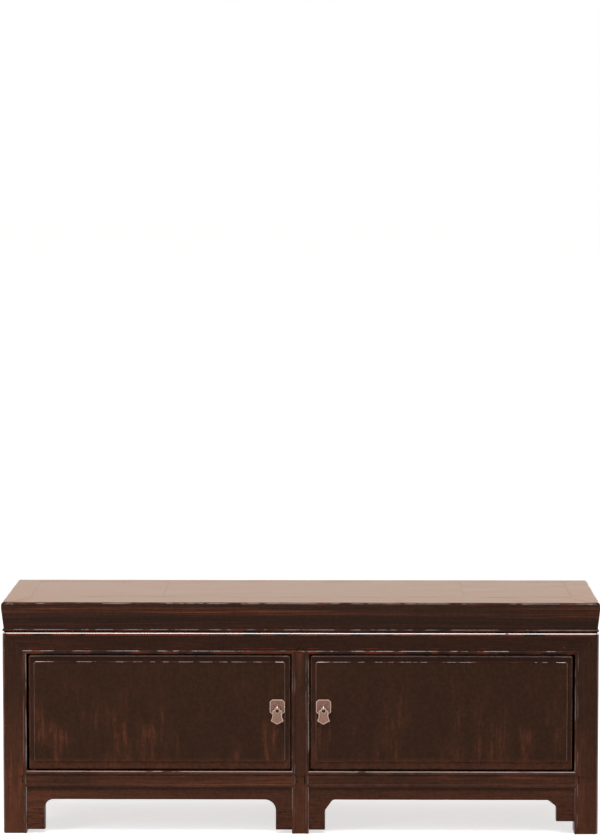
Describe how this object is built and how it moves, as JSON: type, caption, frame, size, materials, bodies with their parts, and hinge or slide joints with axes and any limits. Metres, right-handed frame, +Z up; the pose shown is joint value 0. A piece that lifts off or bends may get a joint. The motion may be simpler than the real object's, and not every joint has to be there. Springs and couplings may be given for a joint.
{
  "type": "kang cabinet",
  "caption": "Low lacquered wooden cabinet with a thick moulded top, framed doors on wooden pivots, drop pulls and bracket feet.",
  "frame": {"origin": "on the floor, under the middle of the case", "axes": "+X to the cabinet's right seen from the front, +Y to its back, +Z up; the doors face -Y"},
  "size_m": [1.254, 0.395, 0.49],
  "materials": {
    "lacquer": "glossy dark brown lacquer, red-brown where worn",
    "polished_lacquer": "glossy dark brown lacquer, polished flat",
    "bare_wood": "thinly stained softwood",
    "aged_brass": "aged, pinkish copper-brass, dulled by handling"
  },
  "bodies": {
    "case": {"apron_front_left": "lacquer", "apron_front_right": "lacquer", "apron_side_left": "lacquer", "apron_side_right": "lacquer", "door_stop_left": "bare_wood", "door_stop_right": "bare_wood", "floor_board_left": "bare_wood", "floor_board_right": "bare_wood", "leg_back_centre": "bare_wood", "leg_back_left": "bare_wood", "leg_back_right": "bare_wood", "leg_front_centre": "lacquer", "leg_front_left": "lacquer", "leg_front_right": "lacquer", "panel_back_left": "bare_wood", "panel_back_right": "bare_wood", "panel_side_left": "lacquer", "panel_side_right": "lacquer", "rail_back_bottom_left": "bare_wood", "rail_back_bottom_right": "bare_wood", "rail_back_top": "bare_wood", "rail_cross_bottom": "bare_wood", "rail_cross_top": "bare_wood", "rail_front_bottom_left": "lacquer", "rail_front_bottom_right": "lacquer", "rail_front_top": "lacquer", "rail_side_bottom_left": "lacquer", "rail_side_bottom_right": "lacquer", "rail_side_top_left": "lacquer", "rail_side_top_right": "lacquer", "top_batten_left": "bare_wood", "top_batten_right": "bare_wood", "top_board_left": "polished_lacquer", "top_board_middle": "polished_lacquer", "top_board_right": "polished_lacquer", "top_rail_back": "polished_lacquer", "top_rail_front": "polished_lacquer", "top_rail_left": "polished_lacquer", "top_rail_right": "polished_lacquer"},
    "door_left": {"door_batten_lower_left": "bare_wood", "door_batten_upper_left": "bare_wood", "door_left": "lacquer", "pull_eye_left": "aged_brass", "pull_plate_left": "aged_brass"},
    "door_right": {"door_batten_lower_right": "bare_wood", "door_batten_upper_right": "bare_wood", "door_right": "lacquer", "pull_eye_right": "aged_brass", "pull_plate_right": "aged_brass"},
    "pull_left": {"pull_drop_left": "aged_brass"},
    "pull_right": {"pull_drop_right": "aged_brass"}
  },
  "joints": [
    {"name": "door_left_hinge", "type": "hinge", "parent": "case", "child": "door_left", "pos_m": [-0.561, -0.176, 0.135], "axis": [0, 0, -1], "range_deg": [0, 90]},
    {"name": "door_right_hinge", "type": "hinge", "parent": "case", "child": "door_right", "pos_m": [0.561, -0.176, 0.135], "axis": [0, 0, 1], "range_deg": [0, 90]},
    {"name": "pull_left_swing", "type": "hinge", "parent": "door_left", "child": "pull_left", "pos_m": [-0.0485, -0.1968, 0.267], "axis": [-1, 0, 0], "range_deg": [-8, 170]},
    {"name": "pull_right_swing", "type": "hinge", "parent": "door_right", "child": "pull_right", "pos_m": [0.0485, -0.1968, 0.267], "axis": [-1, 0, 0], "range_deg": [-8, 170]}
  ]
}
